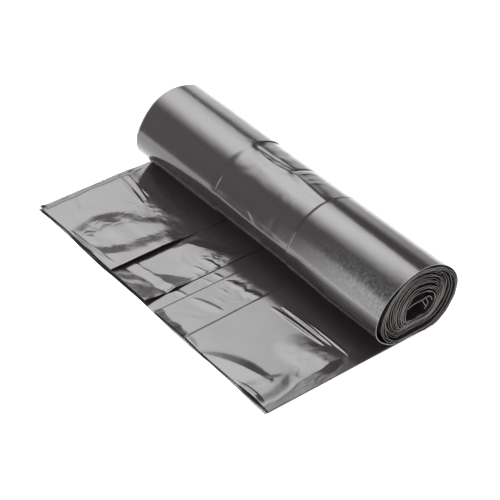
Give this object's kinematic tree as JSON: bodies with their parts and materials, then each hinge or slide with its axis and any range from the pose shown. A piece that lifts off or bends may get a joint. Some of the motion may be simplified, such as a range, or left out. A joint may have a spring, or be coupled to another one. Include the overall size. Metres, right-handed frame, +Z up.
{
  "type": "roll of bin bags",
  "caption": "Roll of joined film bin bags, folded lengthwise and wound on itself without a core, with its free end lying flat in front.",
  "frame": {"origin": "centre of the bounding box in X and Y, at the surface the free end lies on", "axes": "+X along the roll towards the end with the open hollow in view, +Z up, and the free end reaches towards -Y"},
  "size_m": [0.2768, 0.1614, 0.0549],
  "materials": {
    "black_film": "glossy thin film"
  },
  "bodies": {
    "root": {"sack_roll": "black_film"}
  },
  "joints": []
}
